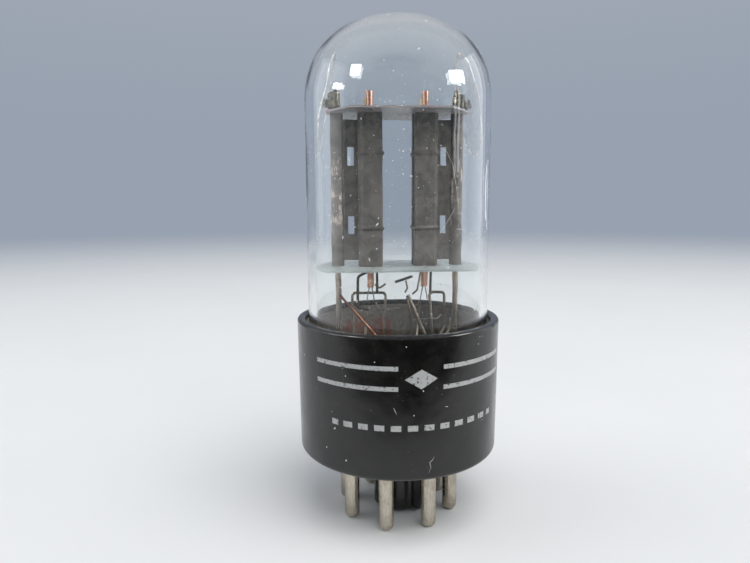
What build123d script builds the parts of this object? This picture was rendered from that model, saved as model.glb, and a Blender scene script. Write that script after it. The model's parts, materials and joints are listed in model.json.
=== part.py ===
# Octal dual triode: a sealed glass bulb with two triode units, on a keyed eight-pin base.
# Millimetres, +Z up. The origin is on the tube's axis, at the level of the pin tips.
# The two units stand side by side along X. The moulded base is set on the bulb turned
# by base_turn, so the pins and the key are turned by that angle too.
import math
import os

from build123d import *

os.makedirs("parts", exist_ok=True)

# ---------------------------------------------------------------- driving dimensions
# Pins and base
pin_count = 8
pin_circle_radius = 8.73
pin_radius = 1.18
pin_length = 11.2
pin_wall = 0.32
pin_shank_step = 0.26
pin_bore_below_base = 4.2
pin_tip_hole_depth = 1.5
pin_tip_hole_radius = 0.45
pin_flare_radius = 1.6
pin_flare_height = 0.5
tip_round_share = 0.8
base_turn = 5.0
base_height = 21.1
base_wall = 1.35
base_draft = 0.25
base_floor = 1.8
base_foot_round = 0.8
base_lip_round = 0.45
spigot_radius = 3.9
spigot_wall = 0.75
spigot_end = 0.9
spigot_lift = 0.3
spigot_tip_chamfer = 0.5
key_width = 2.2
key_reach = 5.1

# Glass
bulb_radius = 14.3
bulb_wall = 1.1
bulb_height = 56.7
bulb_in_base = 11.05
dome_round = 12.0
stem_tube_radius = 9.3
stem_wall = 0.7
stem_flare_height = 2.0
stem_tube_height = 3.0
pinch_width = 18.0
pinch_depth = 3.0
pinch_height = 2.2
pinch_corner = 1.2
exhaust_radius = 1.5
exhaust_length = 15.0

# Cage
cage_rise = 8.1
cage_headroom = 13.85
mica_thickness = 0.3
mica_half_depth = 7.2
top_mica_half_flat = 7.2
top_mica_half_end = 1.6
bottom_mica_half_end = 2.4
unit_x = 4.35
plate_half_width = 1.85
plate_half_depth = 2.3
plate_sheet = 0.2
plate_outer_bevel_x = 0.65
plate_outer_bevel_y = 0.9
plate_inner_bevel = 0.25
plate_seam_length = 0.15
rib_height = 0.9
rib_depth = 0.28
rib_inset = 6.0
rib_taper = 32
window_width = 0.95
window_height = 2.8
window_inset = 6.4
wing_notch = 0.85
crimp_radius = 1.0
rod_x = 9.45
rod_radius = 0.46
rod_top_reach = 3.3
rod_foot_gap = 1.45
collar_radius = 0.75
collar_height = 0.75
cathode_radius = 0.54
cathode_wall = 0.12
cathode_reach = 3.2
heater_radius = 0.1
heater_leg_spread = 0.6
heater_end_inset = 1.0
heater_leg_reach = 2.2
heater_bend_share = 0.75
ribbon_width = 0.5
ribbon_thickness = 0.12
ribbon_height = 2.1
grid_half_width = 1.05
grid_rod_radius = 0.2
grid_rod_reach = 0.5
grid_turns = 24
grid_wire = 0.1
grid_loop_half_depth = 0.85

# Mica ears that steady the cage against the bulb
ear_width = 9.6
ear_height = 16.6
ear_thickness = 0.2
ear_lean = 11.0
ear_rise = 1.2
right_ear_turn = 6.0
ear_rivet_radius = 0.4
ear_rivet_head = 0.75
ear_head_thickness = 0.3
clip_height = 2.4
clip_below_rivet = 0.8
clip_sheet = 0.22

# Wires in the foot of the cage
lead_radius = 0.22
copper_lead_radius = 0.2
thin_wire_radius = 0.15
heater_lead_radius = 0.18
link_wire_radius = 0.12
heavy_wire_radius = 0.34
wire_bend = 0.6
stub_bend = 0.5
thin_wire_bend = 0.4
tab_bend = 0.3
bridge_drop = 4.2
bridge_y = 0.5
lead_above_floor = 2.0
lead_straight = 0.4
pinch_hold = 0.4
getter_length = 3.0
getter_width = 1.6
getter_thickness = 0.18
getter_corner = 0.32
getter_slope = 17.0
getter_drop = 2.0
getter_x = 1.0
getter_y = -0.5

# Clearances
fit = 0.04
shell_glass_gap = 0.45
cement_recess = 0.75
weld_gap = 0.02
wire_gap = 0.06
heater_wall_gap = 0.12
bottom_mica_glass_gap = 0.28
top_mica_glass_gap = 2.2
ear_glass_gap = 2.1

# ---------------------------------------------------------------- levels and radii that follow
base_bottom = pin_length
base_top = base_bottom + base_height
floor_top = base_bottom + base_floor
pin_shank_radius = pin_radius + pin_shank_step
pin_bore_foot = base_bottom - pin_bore_below_base
spigot_tip = spigot_lift
bore_radius = bulb_radius + shell_glass_gap
base_radius = bore_radius + base_wall
base_foot_radius = base_radius - base_draft
bulb_inner = bulb_radius - bulb_wall
bulb_foot = base_top - bulb_in_base
bulb_top = bulb_foot + bulb_height
pin_start = base_turn - 180 / pin_count
pin_step = 360 / pin_count
key_angle = base_turn - pin_step
stem_tube_inner = stem_tube_radius - stem_wall
pinch_foot = bulb_foot + stem_flare_height + stem_tube_height - stem_wall
pinch_top = pinch_foot + stem_wall + pinch_height
cage_foot = base_top + cage_rise
plate_top = bulb_top - cage_headroom - mica_thickness
plate_length = plate_top - cage_foot
rib_heights = (rib_inset, plate_length - rib_inset)
window_heights = (window_inset, plate_length - window_inset)
mica_levels = {"bottom": cage_foot - mica_thickness, "top": plate_top}
mica_under = mica_levels["bottom"]
mica_over = mica_levels["top"] + mica_thickness
cathode_foot = mica_under - cathode_reach
cathode_top = mica_over + cathode_reach
heater_half_gap = cathode_radius - cathode_wall - heater_wall_gap - heater_radius
rod_top = mica_over + rod_top_reach
rod_foot = pinch_top + rod_foot_gap
bridge_z = mica_under - bridge_drop
lead_free = pinch_top + lead_straight
ear_centre_x = bulb_inner - ear_glass_gap
ear_centre_z = mica_over + ear_rise
sides = {"left": -1, "right": 1}


def save(piece, name):
    """Labels a finished piece and writes it as one STEP file."""
    piece.part.label = name
    export_step(piece.part, f"parts/{name}.step")


def pin_centre(number):
    """Centre of a pin, numbered 1 to 8 from the key, as (x, y)."""
    angle = math.radians(pin_start + pin_step * (number - 1))
    return (pin_circle_radius * math.cos(angle), pin_circle_radius * math.sin(angle))


def save_wire(name, points, radius, bend=wire_bend):
    """Writes a round wire that follows straight runs joined by bends."""
    with BuildPart() as wire:
        with BuildLine() as route:
            FilletPolyline(*points, radius=bend)
        with BuildSketch(Plane(origin=route.line @ 0, z_dir=route.line % 0)):
            Circle(radius)
        sweep()
    save(wire, name)


# ---------------------------------------------------------------- base
with BuildPart() as base_shell:
    with BuildSketch(Plane.XZ):
        with BuildLine():
            Polyline(
                (0, base_bottom),
                (base_foot_radius, base_bottom),
                (base_radius, base_top),
                (bore_radius, base_top),
                (bore_radius, floor_top),
                (0, floor_top),
                close=True,
            )
        make_face()
    revolve(axis=Axis.Z)
    foot_edge = base_shell.edges().group_by(Axis.Z)[0]
    fillet(foot_edge, base_foot_round)
    lip_edges = base_shell.edges().group_by(Axis.Z)[-1]
    fillet(lip_edges, base_lip_round)
    with BuildSketch(Plane.XY.offset(spigot_tip)):
        Circle(spigot_radius)
        with Locations(Location((0, 0, 0), (0, 0, key_angle))):
            Rectangle(key_reach, key_width, align=(Align.MIN, Align.CENTER))
    extrude(amount=base_bottom - spigot_tip)
    chamfer(base_shell.edges().group_by(Axis.Z)[0], spigot_tip_chamfer)
    with BuildSketch(Plane.XY.offset(spigot_tip + spigot_end)):
        Circle(spigot_radius - spigot_wall)
    extrude(amount=floor_top - spigot_tip - spigot_end, mode=Mode.SUBTRACT)
    with BuildSketch(Plane.XY.offset(base_bottom)):
        with PolarLocations(pin_circle_radius, pin_count, start_angle=pin_start):
            Circle(pin_shank_radius + fit)
    extrude(amount=base_floor, mode=Mode.SUBTRACT)
save(base_shell, "base_shell")

# Pins with round tips, a thicker shank in the base floor and a flare over it. The bore for
# the lead ends below the base, where the pin is filled, and the tip has its own small hole
for number in range(1, pin_count + 1):
    pin_x, pin_y = pin_centre(number)
    with BuildPart() as pin:
        with BuildSketch(Plane.XY.move(Location((pin_x, pin_y, 0)))):
            Circle(pin_radius)
        extrude(amount=base_bottom)
        fillet(pin.edges().group_by(Axis.Z)[0], pin_radius * tip_round_share)
        with BuildSketch(Plane.XY.move(Location((pin_x, pin_y, base_bottom)))):
            Circle(pin_shank_radius)
        extrude(amount=base_floor + fit)
        with BuildSketch(Plane.XY.move(Location((pin_x, pin_y, floor_top + fit)))):
            Circle(pin_flare_radius)
        extrude(amount=pin_flare_height)
        with BuildSketch(Plane.XY.move(Location((pin_x, pin_y, pin_bore_foot)))):
            Circle(pin_radius - pin_wall)
        extrude(amount=floor_top + pin_flare_height, mode=Mode.SUBTRACT)
        with BuildSketch(Plane.XY.move(Location((pin_x, pin_y, 0)))):
            Circle(pin_tip_hole_radius)
        extrude(amount=pin_tip_hole_depth, mode=Mode.SUBTRACT)
    save(pin, f"pin_{number}")

# Solder that closes the hole in each pin tip
with BuildPart() as pin_solder:
    with BuildSketch(Plane.XY.offset(fit)):
        with PolarLocations(pin_circle_radius, pin_count, start_angle=pin_start):
            Circle(pin_tip_hole_radius - fit)
    extrude(amount=pin_tip_hole_depth - 2 * fit)
save(pin_solder, "pin_solder")

# Ring of cement that fixes the base to the glass
with BuildPart() as basing_cement:
    with BuildSketch(Plane.XY.offset(bulb_foot)):
        Circle(bore_radius - fit)
        Circle(bulb_radius + fit, mode=Mode.SUBTRACT)
    extrude(amount=base_top - cement_recess - bulb_foot)
save(basing_cement, "basing_cement")

# ---------------------------------------------------------------- glass
with BuildPart() as glass_bulb:
    with BuildSketch(Plane.XY.offset(bulb_foot)):
        Circle(bulb_radius)
    extrude(amount=bulb_height)
    fillet(glass_bulb.edges().group_by(Axis.Z)[-1], dome_round)
    with BuildPart(mode=Mode.PRIVATE) as bulb_core:
        with BuildSketch(Plane.XY.offset(bulb_foot)):
            Circle(bulb_inner)
        extrude(amount=bulb_height - bulb_wall)
        fillet(bulb_core.edges().group_by(Axis.Z)[-1], dome_round - bulb_wall)
    add(bulb_core.part, mode=Mode.SUBTRACT)
save(glass_bulb, "glass_bulb")

# Wires that pass through the pinch of the stem: pinch x, pin number (0 for a blind anchor)
pinch_wires = {
    "lead_grid_1": (-7.2, 4),
    "lead_cathode_1": (-5.3, 6),
    "lead_plate_1": (-3.5, 5),
    "left_anchor": (-2.2, 0),
    "lead_heater_a": (2.2, 7),
    "lead_heater_b": (3.3, 8),
    "lead_cathode_2": (4.5, 3),
    "lead_grid_2": (5.8, 1),
    "right_anchor": (7.0, 0),
    "lead_plate_2": (8.1, 2),
}

# Flared glass tube, pinched flat round the wires, with the sealed exhaust tip under it
with BuildPart() as glass_stem:
    with BuildSketch(Plane.XZ):
        with BuildLine():
            Polyline(
                (bulb_inner - fit, bulb_foot),
                (bulb_inner - fit, bulb_foot + stem_wall),
                (stem_tube_radius, bulb_foot + stem_flare_height),
                (stem_tube_radius, pinch_foot + stem_wall),
                (0, pinch_foot + stem_wall),
                (0, pinch_foot),
                (stem_tube_inner, pinch_foot),
                (stem_tube_inner, bulb_foot + stem_flare_height - stem_wall),
                (bulb_inner - 2 * stem_wall, bulb_foot),
                close=True,
            )
        make_face()
    revolve(axis=Axis.Z)
    with BuildSketch(Plane.XY.offset(pinch_foot)):
        RectangleRounded(pinch_width, pinch_depth, pinch_corner)
    extrude(amount=pinch_top - pinch_foot)
    with BuildSketch(Plane.XY.offset(pinch_foot - exhaust_length)):
        Circle(exhaust_radius)
    extrude(amount=exhaust_length)
    fillet(glass_stem.edges().group_by(Axis.Z)[0], exhaust_radius * tip_round_share)
    with BuildSketch(Plane.XY.offset(pinch_foot)):
        with Locations(*[(place[0], 0) for place in pinch_wires.values()]):
            Circle(heavy_wire_radius + fit)
    extrude(amount=pinch_top - pinch_foot, mode=Mode.SUBTRACT)
save(glass_stem, "glass_stem")

# ---------------------------------------------------------------- micas
# The bottom mica's corners lie on a circle just inside the glass; the top one is narrower
bottom_mica_reach = bulb_inner - bottom_mica_glass_gap
bottom_mica_half_flat = math.sqrt(bottom_mica_reach**2 - mica_half_depth**2)
bottom_mica_half_width = math.sqrt(bottom_mica_reach**2 - bottom_mica_half_end**2)
top_mica_half_width = bulb_inner - top_mica_glass_gap
mica_outlines = {
    "bottom": (bottom_mica_half_flat, bottom_mica_half_width, bottom_mica_half_end),
    "top": (top_mica_half_flat, top_mica_half_width, top_mica_half_end),
}
for level, (half_flat, half_width, half_end) in mica_outlines.items():
    with BuildPart() as mica:
        with BuildSketch(Plane.XY.offset(mica_levels[level])):
            Polygon(
                (half_flat, -mica_half_depth),
                (half_width, -half_end),
                (half_width, half_end),
                (half_flat, mica_half_depth),
                (-half_flat, mica_half_depth),
                (-half_width, half_end),
                (-half_width, -half_end),
                (-half_flat, -mica_half_depth),
                align=None,
            )
            with Locations((-rod_x, 0), (rod_x, 0)):
                Circle(rod_radius + fit, mode=Mode.SUBTRACT)
            with Locations((-unit_x, 0), (unit_x, 0)):
                Circle(cathode_radius + fit, mode=Mode.SUBTRACT)
                with GridLocations(2 * grid_half_width, 1, 2, 1):
                    Circle(grid_rod_radius + fit, mode=Mode.SUBTRACT)
        extrude(amount=mica_thickness)
    save(mica, f"{level}_mica")

# ---------------------------------------------------------------- plates
plate_near = unit_x - plate_half_width
plate_far = unit_x + plate_half_width
wing_end = rod_x - crimp_radius
wing_start = plate_far - plate_sheet
wing_stop = wing_end + plate_sheet / 2
section_outer = (
    (plate_near, 0),
    (plate_near, plate_half_depth - plate_inner_bevel),
    (plate_near + plate_inner_bevel, plate_half_depth),
    (plate_far - plate_outer_bevel_x, plate_half_depth),
    (plate_far, plate_half_depth - plate_outer_bevel_y),
    (plate_far, 0),
)

for side, sx in sides.items():
    for face, sy in {"front": -1, "back": 1}.items():
        corners = [(sx * x, sy * y) for x, y in section_outer]
        flange_y = sy * (weld_gap / 2 + plate_sheet / 2)
        with BuildPart() as plate_half:
            with BuildSketch(Plane.XY.offset(cage_foot)):
                with BuildLine():
                    Polyline(*corners, close=True)
                make_face()
            extrude(amount=plate_length)
            with BuildSketch(*[Plane.XY.offset(cage_foot + height) for height in rib_heights]):
                with BuildLine():
                    Polyline(*corners, close=True)
                make_face()
                offset(amount=rib_depth, kind=Kind.INTERSECTION)
            extrude(amount=rib_height / 2, both=True, taper=rib_taper)
            with BuildSketch(Plane.XY.offset(cage_foot)):
                with BuildLine():
                    Polyline(*corners, close=True)
                make_face()
                offset(amount=-plate_sheet, kind=Kind.INTERSECTION)
                with Locations((sx * unit_x, sy * plate_sheet)):
                    Rectangle(2 * (plate_half_width - plate_sheet), 4 * plate_sheet)
            extrude(amount=plate_length, mode=Mode.SUBTRACT)
            with BuildSketch(Plane.XY.offset(cage_foot)):
                with Locations((sx * (wing_start + wing_stop) / 2, flange_y)):
                    Rectangle(wing_stop - wing_start, plate_sheet)
                with Locations((sx * (plate_near - plate_seam_length / 2 + plate_sheet / 2), flange_y)):
                    Rectangle(plate_seam_length + plate_sheet, plate_sheet)
                with Locations((sx * rod_x, 0)):
                    Circle(crimp_radius)
                    Circle(crimp_radius - plate_sheet, mode=Mode.SUBTRACT)
            extrude(amount=plate_length)
            with Locations((sx * unit_x, -sy * (plate_half_depth - weld_gap / 2), cage_foot)):
                Box(
                    4 * rod_x,
                    2 * plate_half_depth,
                    plate_length,
                    align=(Align.CENTER, Align.CENTER, Align.MIN),
                    mode=Mode.SUBTRACT,
                )
            notch_levels = (cage_foot + wing_notch / 2, plate_top - wing_notch / 2)
            with Locations(*[(sx * (plate_far + wing_end) / 2, flange_y, z) for z in notch_levels]):
                Box(wing_end - plate_far, 2 * plate_sheet, wing_notch, mode=Mode.SUBTRACT)
            window_levels = [cage_foot + height for height in window_heights]
            with Locations(*[(sx * (plate_far + wing_end) / 2, flange_y, z) for z in window_levels]):
                Box(window_width, 2 * plate_sheet, window_height, mode=Mode.SUBTRACT)
        save(plate_half, f"{side}_plate_{face}")

# ---------------------------------------------------------------- rods, cathodes, heaters, grids
for side, sx in sides.items():
    with BuildPart() as support_rod:
        with BuildSketch(Plane.XY.offset(rod_foot)):
            with Locations((sx * rod_x, 0)):
                Circle(rod_radius)
        extrude(amount=rod_top - rod_foot)
    save(support_rod, f"{side}_support_rod")

    with BuildPart() as cathode:
        with BuildSketch(Plane.XY.offset(cathode_foot)):
            with Locations((sx * unit_x, 0)):
                Circle(cathode_radius)
                Circle(cathode_radius - cathode_wall, mode=Mode.SUBTRACT)
        extrude(amount=cathode_top - cathode_foot)
    save(cathode, f"{side}_cathode")

    heater_top = cathode_top - heater_end_inset
    heater_foot = cathode_foot - heater_leg_reach
    near_leg = sx * unit_x - heater_half_gap
    far_leg = sx * unit_x + heater_half_gap
    save_wire(
        f"{side}_heater",
        [
            (near_leg - heater_leg_spread + heater_half_gap, 0, heater_foot),
            (near_leg, 0, cathode_foot),
            (near_leg, 0, heater_top),
            (far_leg, 0, heater_top),
            (far_leg, 0, cathode_foot),
            (far_leg + heater_leg_spread - heater_half_gap, 0, heater_foot),
        ],
        heater_radius,
        bend=heater_half_gap * heater_bend_share,
    )

    with BuildPart() as grid_rods:
        with BuildSketch(Plane.XY.offset(mica_under - grid_rod_reach)):
            with Locations((sx * unit_x, 0)):
                with GridLocations(2 * grid_half_width, 1, 2, 1):
                    Circle(grid_rod_radius)
        extrude(amount=mica_over - mica_under + 2 * grid_rod_reach)
        with BuildSketch(Plane.XY.offset(bridge_z)):
            with Locations((sx * unit_x + grid_half_width, 0)):
                Circle(grid_rod_radius)
        extrude(amount=mica_under - bridge_z)
    save(grid_rods, f"{side}_grid_rods")

    turn_pitch = plate_length / (grid_turns + 1)
    turn_levels = [cage_foot + turn_pitch * (turn + 1) for turn in range(grid_turns)]
    loop_inner_width = 2 * (grid_half_width + grid_rod_radius + fit)
    loop_inner_depth = 2 * (grid_loop_half_depth - grid_wire)
    with BuildPart() as grid_winding:
        with BuildSketch(*[Plane.XY.offset(z) for z in turn_levels]):
            with Locations((sx * unit_x, 0)):
                SlotOverall(loop_inner_width + 2 * grid_wire, loop_inner_depth + 2 * grid_wire)
                SlotOverall(loop_inner_width, loop_inner_depth, mode=Mode.SUBTRACT)
        extrude(amount=grid_wire)
    save(grid_winding, f"{side}_grid_winding")

# A short ribbon stands on the top mica at the left of each cathode, in front of a grid rod
ribbon_y = grid_rod_radius + wire_gap + ribbon_thickness / 2
ribbon_back_y = ribbon_y - ribbon_thickness / 2
ribbon_edge = math.sqrt(cathode_radius**2 - ribbon_back_y**2) + weld_gap
ribbon_offset = ribbon_edge + ribbon_width / 2
with BuildPart() as cathode_ribbons:
    with BuildSketch(Plane.XY.offset(mica_over + fit)):
        with Locations(*[(sx * unit_x - ribbon_offset, -ribbon_y) for sx in sides.values()]):
            Rectangle(ribbon_width, ribbon_thickness)
    extrude(amount=ribbon_height)
save(cathode_ribbons, "cathode_ribbons")

with BuildPart() as rod_collars:
    with BuildSketch(Plane.XY.offset(mica_under - fit - collar_height)):
        with Locations((-rod_x, 0), (rod_x, 0)):
            Circle(collar_radius)
            Circle(rod_radius + weld_gap, mode=Mode.SUBTRACT)
    extrude(amount=collar_height)
save(rod_collars, "rod_collars")

# ---------------------------------------------------------------- mica ears and their clips
for side, sx in sides.items():
    turn = math.radians(right_ear_turn) if side == "right" else 0.0
    lean = math.radians(ear_lean)
    level = sx * math.cos(lean)
    ear_plane = Plane(
        origin=(sx * ear_centre_x, 0, ear_centre_z),
        x_dir=(-math.sin(turn), math.cos(turn), 0),
        z_dir=(level * math.cos(turn), level * math.sin(turn), math.sin(lean)),
    )
    with BuildPart() as mica_ear:
        with BuildSketch(ear_plane):
            Ellipse(ear_width / 2, ear_height / 2)
            Circle(ear_rivet_radius + fit, mode=Mode.SUBTRACT)
        extrude(amount=ear_thickness)
    save(mica_ear, f"{side}_mica_ear")

    with BuildPart() as ear_clip:
        with BuildSketch(ear_plane.offset(-fit - ear_head_thickness)):
            Circle(ear_rivet_head)
        extrude(amount=ear_head_thickness)
        with BuildSketch(ear_plane.offset(-fit)):
            Circle(ear_rivet_radius)
        extrude(amount=ear_thickness + 2 * fit)
        with BuildSketch(ear_plane.offset(ear_thickness + fit)):
            Circle(ear_rivet_head)
        extrude(amount=ear_head_thickness)
        strap_start = rod_x - rod_radius - weld_gap - clip_sheet
        strap_end = ear_centre_x - ear_head_thickness
        with BuildSketch(Plane.XY.offset(ear_centre_z - clip_below_rivet)):
            with Locations((sx * (strap_start + strap_end) / 2, 0)):
                SlotOverall(strap_end - strap_start, 2 * (rod_radius + weld_gap + clip_sheet))
                SlotOverall(
                    strap_end - strap_start - 2 * clip_sheet,
                    2 * (rod_radius + weld_gap),
                    mode=Mode.SUBTRACT,
                )
        extrude(amount=clip_height)
    save(ear_clip, f"{side}_ear_clip")

# ---------------------------------------------------------------- leads and wires in the foot
# The offsets in these routes are the bends of wires that were formed by hand
def lead_route(name, *upper):
    """Points of a lead: up its pin's bore, through the base and the pinch, then as given."""
    pinch_x, number = pinch_wires[name]
    pin_x, pin_y = pin_centre(number)
    return [
        (pin_x, pin_y, pin_bore_foot + fit),
        (pin_x, pin_y, floor_top + lead_above_floor),
        (pinch_x, 0, pinch_foot - lead_straight),
        (pinch_x, 0, lead_free),
        *upper,
    ]


left_anchor_x = pinch_wires["left_anchor"][0]
right_anchor_x = pinch_wires["right_anchor"][0]

# Grid leads are inverted U bridges: one leg is the lead, the other is only held by the pinch
save_wire(
    "lead_grid_1",
    lead_route(
        "lead_grid_1",
        (pinch_wires["lead_grid_1"][0] - 0.1, bridge_y, bridge_z),
        (left_anchor_x + 0.3, bridge_y, bridge_z),
        (left_anchor_x, 0, lead_free),
        (left_anchor_x, 0, pinch_foot + pinch_hold),
    ),
    lead_radius,
)
save_wire(
    "lead_grid_2",
    lead_route(
        "lead_grid_2",
        (pinch_wires["lead_grid_2"][0] - 0.5, bridge_y, bridge_z),
        (right_anchor_x + 0.8, bridge_y, bridge_z - 0.1),
        (right_anchor_x + 0.9, bridge_y, lead_free + 1.3),
        (right_anchor_x, 0, lead_free),
        (right_anchor_x, 0, pinch_foot + pinch_hold),
    ),
    lead_radius,
)

# Plate leads: a copper wire slants up to the left rod, a short one stands by the right rod
tie_y = -(rod_radius + copper_lead_radius + weld_gap)
save_wire(
    "lead_plate_1",
    lead_route("lead_plate_1", (-rod_x + 0.1, tie_y, bridge_z)),
    copper_lead_radius,
)
stand_x = rod_x - rod_radius - lead_radius - weld_gap
save_wire(
    "lead_plate_2",
    lead_route("lead_plate_2", (stand_x, 0, lead_free + 1.0), (stand_x, 0.02, lead_free + 2.8)),
    lead_radius,
    bend=stub_bend,
)

# Cathode leads, each with the wire that joins it to its cathode sleeve
save_wire(
    "lead_cathode_1",
    lead_route("lead_cathode_1", (-5.2, 0.8, lead_free + 1.2), (-4.45, 0.75, lead_free + 4.6)),
    lead_radius,
)
cathode_reach_out = cathode_radius + lead_radius + wire_gap
save_wire(
    "left_cathode_wire",
    [
        (-unit_x - 0.75 * cathode_reach_out, -0.7 * cathode_reach_out, mica_under - 0.7),
        (-unit_x - 2.0, -0.8, mica_under - 1.4),
        (-unit_x - 2.1, -0.8, bridge_z - 2.2),
        (-unit_x - 0.45, 0.3, bridge_z - 2.7),
    ],
    lead_radius,
)
save_wire(
    "lead_cathode_2",
    lead_route("lead_cathode_2", (1.7, -0.2, bridge_z - 0.4)),
    heavy_wire_radius,
)
save_wire(
    "right_cathode_wire",
    [
        (unit_x - 0.75 * cathode_reach_out, -0.75 * cathode_reach_out, mica_under - 0.5),
        (unit_x - 1.2, -0.8 * cathode_reach_out, bridge_z + 0.5),
        (unit_x - 2.0, -0.85, bridge_z - 0.1),
    ],
    thin_wire_radius,
    bend=thin_wire_bend,
)
save_wire(
    "left_cathode_tab",
    [
        (-unit_x + 0.85 * cathode_reach_out, -0.6 * cathode_reach_out, cathode_foot + 0.5),
        (-unit_x + 1.4, -0.6, cathode_foot - 0.1),
        (-unit_x + 2.35, -0.7, cathode_foot + 0.6),
    ],
    thin_wire_radius,
    bend=tab_bend,
)

# Heater leads and the two thin links that join the heaters
save_wire(
    "lead_heater_a",
    lead_route("lead_heater_a", (1.85, -0.95, bridge_z - 2.4), (1.45, -1.0, bridge_z - 0.7)),
    heater_lead_radius,
)
save_wire(
    "lead_heater_b",
    lead_route("lead_heater_b", (3.5, 0.8, lead_free + 1.6), (3.75, 0.5, cathode_foot - 2.3)),
    heater_lead_radius,
)
save_wire(
    "heater_link_a",
    [
        (-unit_x + 0.75, -0.35, cathode_foot - 2.4),
        (-unit_x + 1.3, -0.8, bridge_z - 2.2),
        (-unit_x + 2.8, -1.2, bridge_z - 2.5),
        (0.3, -1.35, bridge_z - 2.3),
    ],
    thin_wire_radius,
    bend=stub_bend,
)
save_wire(
    "heater_link_b",
    [
        (2.6, -0.9, lead_free + 2.8),
        (6.4, -0.9, lead_free + 2.95),
        (7.1, -0.5, lead_free + 3.5),
    ],
    link_wire_radius,
    bend=thin_wire_bend,
)

# Getter strip on its own wire, which stands on the heavy cathode lead
getter_z = mica_under - getter_drop
with BuildPart() as getter_strip:
    getter_plane = Plane(
        origin=(getter_x, getter_y, getter_z),
        x_dir=(math.cos(math.radians(getter_slope)), 0, math.sin(math.radians(getter_slope))),
        z_dir=(-math.sin(math.radians(getter_slope)), 0, math.cos(math.radians(getter_slope))),
    )
    with BuildSketch(getter_plane):
        RectangleRounded(getter_length, getter_width, getter_corner)
    extrude(amount=getter_thickness)
save(getter_strip, "getter_strip")
save_wire(
    "getter_wire",
    [
        (1.2, -0.35, bridge_z + 0.1),
        (1.6, -0.5, bridge_z + 0.8),
        (getter_x + 0.3, getter_y, getter_z - thin_wire_radius),
    ],
    thin_wire_radius,
    bend=thin_wire_bend,
)
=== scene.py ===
"""Looks of the vacuum tube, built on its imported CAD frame.

Metres, Z up, with the front towards -Y. Materials and wall coordinates work in millimetres.
"""
import json
import math
import random

import bmesh
import bpy
from mathutils import Matrix, Vector, noise


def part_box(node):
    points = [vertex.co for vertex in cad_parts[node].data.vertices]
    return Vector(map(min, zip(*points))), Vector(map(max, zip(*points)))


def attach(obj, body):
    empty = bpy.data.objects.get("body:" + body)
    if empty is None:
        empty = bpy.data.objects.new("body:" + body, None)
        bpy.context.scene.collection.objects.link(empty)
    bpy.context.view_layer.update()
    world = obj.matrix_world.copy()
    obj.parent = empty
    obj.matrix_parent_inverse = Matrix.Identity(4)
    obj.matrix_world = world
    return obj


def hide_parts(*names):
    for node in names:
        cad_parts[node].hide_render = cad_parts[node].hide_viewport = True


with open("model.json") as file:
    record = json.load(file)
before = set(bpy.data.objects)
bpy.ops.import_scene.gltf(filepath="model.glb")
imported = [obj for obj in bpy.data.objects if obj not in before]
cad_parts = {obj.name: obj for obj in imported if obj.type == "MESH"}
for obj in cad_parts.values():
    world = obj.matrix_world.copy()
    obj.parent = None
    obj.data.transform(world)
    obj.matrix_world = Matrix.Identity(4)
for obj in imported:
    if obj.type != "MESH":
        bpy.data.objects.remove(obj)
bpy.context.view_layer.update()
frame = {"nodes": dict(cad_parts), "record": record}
nodes = frame["nodes"]

# ---------------------------------------------------------------- sizes
MM = 0.001
bulb_low, bulb_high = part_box("glass_bulb")
base_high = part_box("base_shell")[1]
BULB_RADIUS = bulb_high.x
BULB_FOOT = bulb_low.z
BULB_TOP = bulb_high.z
BULB_WALL = 1.1 * MM
BASE_FOOT = 11.2 * MM  # the pins stand this far out below the base
BASE_TOP = base_high.z
BASE_DRAFT = 0.25 * MM  # the base is this much narrower in radius at its foot
MICA_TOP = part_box("top_mica")[1].z

# Glass: the dome is a superellipse, and the inner wall is slightly uneven
DOME_RISE = 13 * MM
INNER_DOME_RISE = 12 * MM
DOME_POWER = 2.33
DOME_STEPS = 48
WALL_RINGS = 40
BULB_SEGMENTS = 192
UNEVEN_DEPTH = 0.06 * MM
UNEVEN_PITCH = 20 * MM
UNEVEN_SCALE = 0.9
UNEVEN_SEED = 3.7

# Mica ears: ellipses of thin sheet that lean out at the foot, with a chipped rim
EAR_LEAN = math.radians(11.0)
EAR_TURN = {"left": 0.0, "right": math.radians(6.0)}
EAR_SEED = {"left": 11, "right": 12}
EAR_HALF_WIDTH = 4.7 * MM
EAR_HALF_HEIGHT = 8.2 * MM
EAR_HALF_SHEET = 0.09 * MM
EAR_SPOKES = 88
EAR_RINGS = (0.2, 0.4, 0.6, 0.75, 0.88, 0.968, 1.0)
EAR_BEND = 0.22 * MM
EAR_BEND_SCALE = 220
EAR_CHIP = 0.03
EAR_SCALLOP = 0.012
EAR_SCALLOPS = 5
EAR_RIM_SHARE = 0.8

# Clips between the ears and the rods: how finely they are cut, and how far crumpled
CLIP_EDGE = 0.35 * MM
CLIP_ROUNDS = 4
CRUMPLE_SCALE = 620
CRUMPLE_DEPTH = 0.3 * MM
CRUMPLE_HALF_HEIGHT = 1.2 * MM
CRUMPLE_FLARE = 0.35
CRUMPLE_SHIFT = 9

# Dust chips and scratch burrs on the walls
CHIP_SIZE = 0.035 * MM
CHIP_LIFT = 0.012 * MM
CHIP_CORNERS = 6
BURR_STEPS = 14
BURR_HEIGHT = 0.02 * MM
BURR_SHAKE = 0.12  # degrees

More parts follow.
